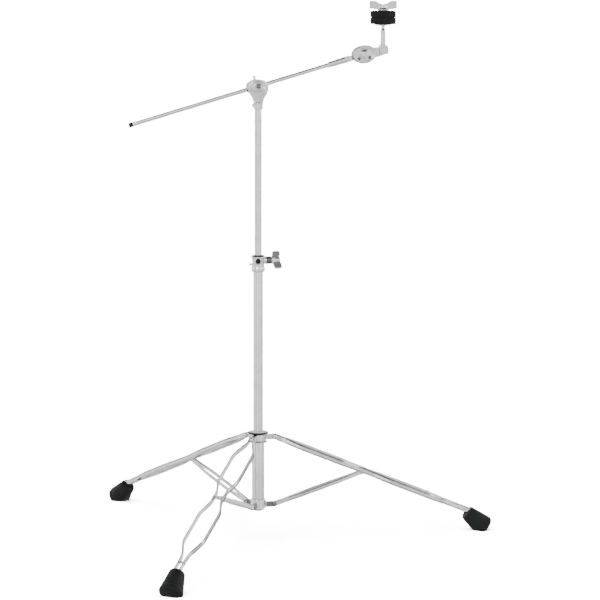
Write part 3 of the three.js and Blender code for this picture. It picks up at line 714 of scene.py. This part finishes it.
# ---- wing nuts and screws ---------------------------------------------------------------------
def wings(name, where, hub, height, span, low, high, notch, thick, bore=0.0, shank=0.0, shank_length=0.0):
    """A cast wing nut about +Z, its wings in the XZ plane; with a shank it is a wing screw."""
    corner, shoulder, foot = span * 0.1, span * 0.34, height * 0.12
    rise = (notch + high * 2) / 3
    outline = [(0, notch), *bezier((0, notch), (shoulder * 0.8, notch), (shoulder * 1.3, rise))[1:],
               *bezier((shoulder * 1.3, rise), (shoulder * 1.5, high), (shoulder * 1.9, high), 5)[1:],
               *bezier((span - corner, high), (span, high), (span, high - corner), 6),
               *bezier((span, low + corner), (span, low), (span - corner, low), 6),
               *bezier((span - corner, low), (span * 0.6, low * 0.8), (hub * 0.8, foot))[1:],
               (0, foot)]
    both = outline[:-1] + [(-x, z) for x, z in reversed(outline[1:-1])]
    blade = prism("blade", both, -thick / 2, thick / 2, where)
    core = lathe("core", [(0, 0), (hub, 0), (hub, foot), (hub * 0.68, height * 0.5), (hub * 0.68, height),
                          (0, height)], where, 56, 1.0)
    parts = [core, blade]
    cuts = []
    if shank:
        parts.append(lathe("shank", [(0, -shank_length), (shank, -shank_length), (shank, 1), (0, 1)],
                           where, 32, 0.5))
    if bore:
        cuts.append(lathe("bore", [(0, -1), (bore, -1), (bore, 60), (0, 60)], where, 40, 0.01))
    return cast(name, parts, cuts, 0.5, 8)


BOLT_SPIN, SCREW_SPIN, NUT_SPIN = math.radians(-30), math.radians(84), math.radians(-8)


def make_wing_pieces():
    axis = Vector(JOINTS["collar_wing_screw_turn"]["axis"]).normalized()
    place = Vector(JOINTS["collar_wing_screw_turn"]["pos_m"]) + axis * 25.4 * MM
    small = wings("w", seat_frame(place, axis), 6, 12, 19, 7, 16, 9, 3.4, shank=3, shank_length=11.2)
    finish_piece(small, "leg_collar_wing_screw", CAST)
    where = seat_frame(BOLT + BOLT_AXIS * 29.2 * MM, BOLT_AXIS, BOLT_SPIN)
    bolt = wings("w", where, 8.4, 21, 21.5, 5.5, 23, 19, 6, shank=3.8, shank_length=17.2)
    finish_piece(bolt, "height_wing_bolt", CAST)
    where = seat_frame(Vector(JOINTS["boom_wing_screw_turn"]["pos_m"]), (0, 1, 0), SCREW_SPIN)
    screw = wings("w", where, 8.2, 14, 21, 7, 18, 12, 5.2, shank=3.5, shank_length=6.4)
    finish_piece(screw, "boom_wing_screw", CAST)
    where = seat_frame(Vector(JOINTS["tilter_wing_nut_turn"]["pos_m"]), (0, 1, 0), NUT_SPIN)
    nut = wings("w", where, 8.6, 14, 23, 7, 17, 11, 4.4, bore=4.3)
    finish_piece(nut, "tilter_wing_nut", CAST)
    top = wings("w", seat_frame(NUT_SEAT), 12.5, 12.5, 31.2, 3.7, 21.6, 14.4, 6, bore=3.3)
    finish_piece(top, "top_wing_nut", CAST)


# ---- height clamp -----------------------------------------------------------------------------
def make_height_clamp():
    rest = Matrix.Translation(MAST + UP * CLAMP_LOW.z) @ CLAMP_TURN
    shell = lathe("shell", [(9, 0), (13.2, 0), (15.2, 2.6), (15.4, 8), (13.8, 12), (13.8, 30.5), (16.6, 32.4),
                            (16.6, 34.4), (15.8, 35.2), (9, 35.2)], rest, 96, 1.2, True)
    across = seat_frame(BOLT, BOLT_AXIS)
    forward = seat_frame(BOLT, CLAMP_TURN @ Vector((0, -1, 0)))
    boss = lathe("boss", [(0, 10), (8.4, 10), (8.1, 18.5), (0, 18.5)], across, 56, 0.8)
    seat = lathe("seat", [(0, 10), (7.2, 10), (7.1, 16), (0, 16)], forward, 56, 0.6)
    tab = prism("tab", rect(-20.5, -12, 14.5, 19.5), -3, 3, rest)
    bore = lathe("bore", [(0, -5), (11.4, -5), (11.4, 60), (0, 60)], rest, 96, 0.01)
    slit = prism("slit", rect(-30, -5, -5, 60), -0.8, 0.8, rest)
    finish_piece(cast("clamp", [shell, boss, seat, tab], [bore, slit]), "height_clamp", CAST)
    badge = lathe("badge", [(0, 16.3), (6, 16.3), (6, 17.4), (5.4, 18.1), (4.6, 18.2), (4.3, 17.8), (4, 17.8),
                            (3.7, 18.5), (2.2, 19), (0, 19.2)], forward, 56, 0.3)
    finish_piece(badge, "clamp_badge", NYLON)
    washer = lathe("washer", [(4.1, 18.8), (8.4, 18.8), (8.8, 19.4), (8.8, 23.2), (8.2, 23.6), (8.2, 24.4),
                              (8.8, 24.8), (8.8, 28.2), (8.2, 28.9), (4.1, 28.9)], across, 64, 0.35, True)
    finish_piece(washer, "clamp_washer", DARK_ZINC_AND_SHADE)


# ---- boom head --------------------------------------------------------------------------------
def shield():
    """Outline of the head's front plate: a neck that opens into a wide oval."""
    bottom, wide, z = 986.5, 22.4, HEAD.z / MM
    right = bezier((10.2, bottom), (11.2, bottom + 10), (16.5, bottom + 17))
    right += bezier((16.5, bottom + 17), (wide, bottom + 25), (wide, z))[1:]
    crown = ellipse(0, z, wide, 17.6, 5, 175, 36)
    return right + crown + [(-x, height) for x, height in reversed(right)]


def make_bracket():
    rest = Matrix.Translation(MAST)
    face = prism("face", shield(), -8, 5.5, rest)
    rim = prism("rim", ellipse(0, TILT_Z - 0.5, 17.5, 12), -10.5, -6, rest)
    dish = prism("dish", ellipse(0, TILT_Z - 0.5, 15, 9.6), -20, -8.8, rest)
    hub = prism("hub", ellipse(0, TILT_Z, 10.2, 7), -10.2, -6, rest)
    recess = prism("recess", ellipse(0, TILT_Z, 8, 5), -20, -5.4, rest)
    collar = lathe("collar", [(0, 973), (10, 973), (10.8, 974), (10.8, 986.4), (10.2, 987.6), (0, 987.6)],
                   rest, 72, 0.8)
    bead = lathe("bead", [(0, 985.6), (11.4, 985.6), (11.4, 988.4), (0, 988.4)], rest, 72, 1.2)
    bore = lathe("bore", [(0, 900), (8.25, 900), (8.25, 986.3), (0, 986.3)], rest, 72, 0.01)
    combined(rim, dish, "DIFFERENCE")
    bracket = cast("bracket", [face, rim, hub, collar, bead], [recess, bore])
    finish_piece(bracket, "boom_bracket", CAST)
    low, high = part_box("bracket_set_screw")
    place = MAST + UP * (low.z + high.z) / 2
    screw = lathe("screw", [(0, 8.5), (2, 8.5), (2, 11.2), (3.3, 11.2), (3.3, 13.2), (2.4, 14), (1.3, 14),
                            (1.3, 12.8), (0, 12.8)], seat_frame(place, (-1, 0, 0)), 32, 0.25)
    finish_piece(screw, "bracket_set_screw", CAST)
    bolt = lathe("bolt", [(0, -7.4), (2.4, -7.4), (2.4, -9), (3.9, -9), (4.6, -8.2), (4.6, -5.7), (4, -5.7),
                          (4, 11.5), (0, 11.5)], seat_frame(TILT, (0, 1, 0)), 40, 0.3)
    finish_piece(bolt, "boom_pivot_bolt", DARK_ZINC_AND_SHADE)


def make_boom():
    back = seat_frame(TILT, (0, 1, 0))
    along = seat_frame(HEAD, BOOM)
    rest = Matrix.Translation(MAST)
    disc = prism("disc", ellipse(-0.6, TILT_Z - 0.5, 25.4, 15), 5.9, 12.4, rest)
    barrel = lathe("barrel", [(0, -22), (8.2, -22), (9.2, -20.5), (9.2, 20.5), (8.2, 22), (0, 22)],
                   along, 64, 0.8)
    boss = lathe("boss", [(0, 21), (8, 21), (8, 33.4), (0, 33.4)], back, 48, 0.6)
    web = prism("web", rect(-12, 12, -9, 11), 11, 23, Matrix.Translation(MAST + UP * HEAD.z))
    bore = lathe("bore", [(0, -40), (5.7, -40), (5.7, 40), (0, 40)], along, 48, 0.01)
    hole = lathe("hole", [(0, 0), (4.3, 0), (4.3, 12), (0, 12)], back, 40, 0.01)
    tapped = lathe("tapped", [(0, 21), (3.8, 21), (3.8, 50), (0, 50)], back, 40, 0.01)
    finish_piece(cast("holder", [disc, web, barrel, boss], [bore, hole, tapped]), "boom_holder", CAST)
    liner = lathe("liner", ring_profile(5.4, 5.0, -23.5, 23.5), along, 48, 0.1, True)
    finish_piece(liner, "boom_liner", NYLON)
    rod = lathe("rod", [(0, -294), (4.75, -294), (4.75, 213), (0, 213)], along, 72, 0.6)
    finish_piece(rod, "boom_rod", POLISHED)
    cap = lathe("cap", [(0, -297), (4.4, -297), (5.3, -296.2), (5.3, -288), (5.05, -288), (5.05, -294.3),
                        (0, -294.3)], along, 48, 0.3)
    finish_piece(cap, "boom_end_cap", NYLON)


# ---- cymbal tilter ----------------------------------------------------------------------------
TILTER_TIP = math.radians(-8)
# (x, z, half width, half height) of the slit in the socket's face, and of its two pockets
SLIT = (0.5, 8.4, 6.4, 1.7)
POCKET_XS, POCKET_Z, POCKET_HALVES = (-13.5, 10.5), -8.2, (3, 2.6)


def make_tilter():
    tip = Matrix.Translation((TILTER.x, MAST.y, TILTER.z)) @ Matrix.Rotation(TILTER_TIP, 4, "Y")
    along = seat_frame(HEAD, BOOM)
    face = prism("face", ellipse(0, 0, 28, 20.4), 12, 20.7, tip)
    rim = prism("rim", ellipse(0, 0, 27, 19.4), 8.5, 13, tip)
    dish = prism("dish", ellipse(0, 0, 21.8, 14.2), 0, 11.5, tip)
    combined(rim, dish, "DIFFERENCE")
    hub = prism("hub", ellipse(0, 0, 11, 8.6), 8.3, 13, tip)
    neck = lathe("neck", [(0, 168), (5.9, 168), (6.4, 169), (7.4, 211), (7.4, 219), (0, 219)], along, 56, 0.8)
    slope = Matrix.Translation((MAST.x, MAST.y, HEAD.z)) @ Matrix.Rotation(-math.asin(BOOM.z), 4, "Y")
    bridge = prism("bridge", rect(209, 231, -6, 6), 14, 20.7, slope)
    bore = lathe("bore", [(0, 100), (5.05, 100), (5.05, 213.5), (0, 213.5)], along, 48, 0.01)
    upright = seat_frame(Vector((TILTER.x, MAST.y, TILTER.z)), (0, 1, 0))
    hole = lathe("hole", [(0, -30), (4.3, -30), (4.3, 60), (0, 60)], upright, 40, 0.01)
    slit = prism("slit", ellipse(*SLIT), 5, 14.5, tip)
    pockets = [prism("pocket", ellipse(x, POCKET_Z, *POCKET_HALVES), 5, 14.5, tip) for x in POCKET_XS]
    socket = cast("socket", [face, rim, hub, neck, bridge], [bore, hole, slit, *pockets])
    finish_piece(socket, "tilter_socket", CAST)
    inverse = tip.inverted()

    def sunk(centre, normal):
        """True on the walls of the slit and the pockets, which get painted shade."""
        local = inverse @ centre / MM
        deep = 8.7 < local.y < 16
        slot_wall = (local.x - SLIT[0]) ** 2 / 7.4**2 + (local.z - SLIT[1]) ** 2 / 2.6**2 < 1
        holes = any((local.x - x) ** 2 / 4**2 + (local.z - POCKET_Z) ** 2 / 3.6**2 < 1 for x in POCKET_XS)
        return deep and (slot_wall or holes)

    def edge(centre, normal):
        """True around the rim of the socket's face, which gets painted shade as a dark ring."""
        local = inverse @ centre / MM
        return local.y < 20 and (local.x / 25.8) ** 2 + (local.z / 18.2) ** 2 > 1 and local.x > -29
    # Painted shade: a dark ring around the socket's face, and dark walls in the slit and pockets.
    zoned(socket, PAINTED_SHADE, edge)
    zoned(socket, DARK_ZINC_AND_SHADE, sunk)
    back = prism("back", ellipse(0, 0, 27, 19.6), 21.3, 31.5, tip)
    seat_x = mid("cymbal_rod").x
    reach = (seat_x - TILTER.x) / MM
    place = Matrix.Translation((TILTER.x, MAST.y, TILTER.z))
    web = prism("web", [(6, 13), (reach - 5, 16), (reach + 9, 18), (reach + 9, 1), (reach - 10, -6),
                        (4, -12)], 21.3, 31, place)
    eye = prism("eye", [(reach - 8.5, 0), (reach + 11.5, 0), (reach + 11.5, 15.5), (reach + 6.5, 20.5),
                        (reach - 8.5, 20.5)], 16.5, 35.5, place)
    hole = lathe("hole", [(0, -30), (4.3, -30), (4.3, 60), (0, 60)], upright, 40, 0.01)
    socket_hole = lathe("hole", [(0, 2), (5.9, 2), (5.9, 60), (0, 60)],
                        Matrix.Translation((seat_x, NUT_SEAT.y, TILTER.z)), 48, 0.01)
    finish_piece(cast("arm", [back, web, eye], [hole, socket_hole]), "tilter_arm", CAST)
    bolt = lathe("bolt", [(0, 5.6), (2.6, 5.6), (2.6, 4.2), (5.6, 4.2), (6.6, 5.2), (6.6, 8.0), (4, 8.2),
                          (4, 49.2), (0, 49.2)], upright, 48, 0.35)
    finish_piece(bolt, "tilter_bolt", CAST)


THREAD_TURNS = 11


def make_cymbal_seat():
    rod_low, rod_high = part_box("cymbal_rod")
    washer_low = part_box("seat_washer")[0]
    rest = Matrix.Translation((NUT_SEAT.x, NUT_SEAT.y, 0))
    bottom, seat, tip = rod_low.z / MM, washer_low.z / MM, rod_high.z / MM
    profile = [(0, bottom), (5.6, bottom), (5.6, seat - 12), (3.4, seat - 6), (3.4, seat - 3),
               (5.2, seat - 3), (5.2, seat - 0.3), (3, seat - 0.3), (3, tip - 12)]
    for k in range(THREAD_TURNS):
        z = tip - 12 + k
        profile += [(3, z + 0.15), (2.6, z + 0.5), (3, z + 0.85)]
    profile += [(2.3, tip - 0.2), (0, tip)]
    rod = lathe("rod", profile, rest, 56, 0.3)
    finish_piece(rod, "cymbal_rod", POLISHED)
    washer = lathe("washer", ring_profile(17.5, 3.3, seat, seat + 2), rest, 72, 0.7, True)
    finish_piece(washer, "seat_washer", CAST)
    low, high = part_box("cymbal_sleeve")
    sleeve = lathe("sleeve", ring_profile(5.1, 3.3, low.z / MM, high.z / MM), rest, 48, 0.3, True)
    finish_piece(sleeve, "cymbal_sleeve", NYLON)
    for node in ("felt_lower", "felt_upper"):
        make_felt(node, rest)


FELT_RADIUS, FELT_CORE = 29, 12


def make_felt(node, rest):
    """A punched felt disc: squarish edges, a slight waist and belly, and a fuzzy uneven skin."""
    low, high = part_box(node)
    bottom, top = low.z / MM, high.z / MM
    outer = FELT_RADIUS
    rise = top - bottom
    side = [(outer - 0.5 + 0.5 * math.sin(math.pi * k / 12), bottom + 0.9 + (rise - 1.8) * k / 12)
            for k in range(13)]
    flat_low = [(r, bottom) for r in range(7, 28, 2)]
    flat_high = [(r, top) for r in range(27, 6, -2)]
    profile = [(5.5, bottom), *flat_low, (outer - 1.1, bottom + 0.1), *side, (outer - 1.1, top - 0.1),
               *flat_high, (5.5, top)]
    felt = lathe("felt", profile, rest, 160, 0.3, True)
    for vertex in felt.data.vertices:
        out = Vector((vertex.co.x - NUT_SEAT.x, vertex.co.y - NUT_SEAT.y, 0))
        radius = out.length / MM
        if radius > FELT_CORE:
            fuzz = noise.noise(vertex.co * 900) * 0.28 + noise.noise(vertex.co * 260) * 0.22
            vertex.co += out.normalized() * (fuzz - 0.15) * MM * min(1, (radius - FELT_CORE) / 10)
        centre = (bottom + top) / 2 * MM
        if abs(vertex.co.z - centre) > (rise / 2 - 0.4) * MM:
            sunk = (0.1 + 0.1 * abs(noise.noise(vertex.co * 700))) * MM
            vertex.co.z -= math.copysign(sunk, vertex.co.z - centre)
    finish_piece(felt, node, FELT, 0)


make_camera()
make_studio()
make_world()
make_lights()
make_mast()
make_collars()
for leg_name in LEG_NAMES:
    make_leg(leg_name)
make_wing_pieces()
make_height_clamp()
make_bracket()
make_boom()
make_tilter()
make_cymbal_seat()
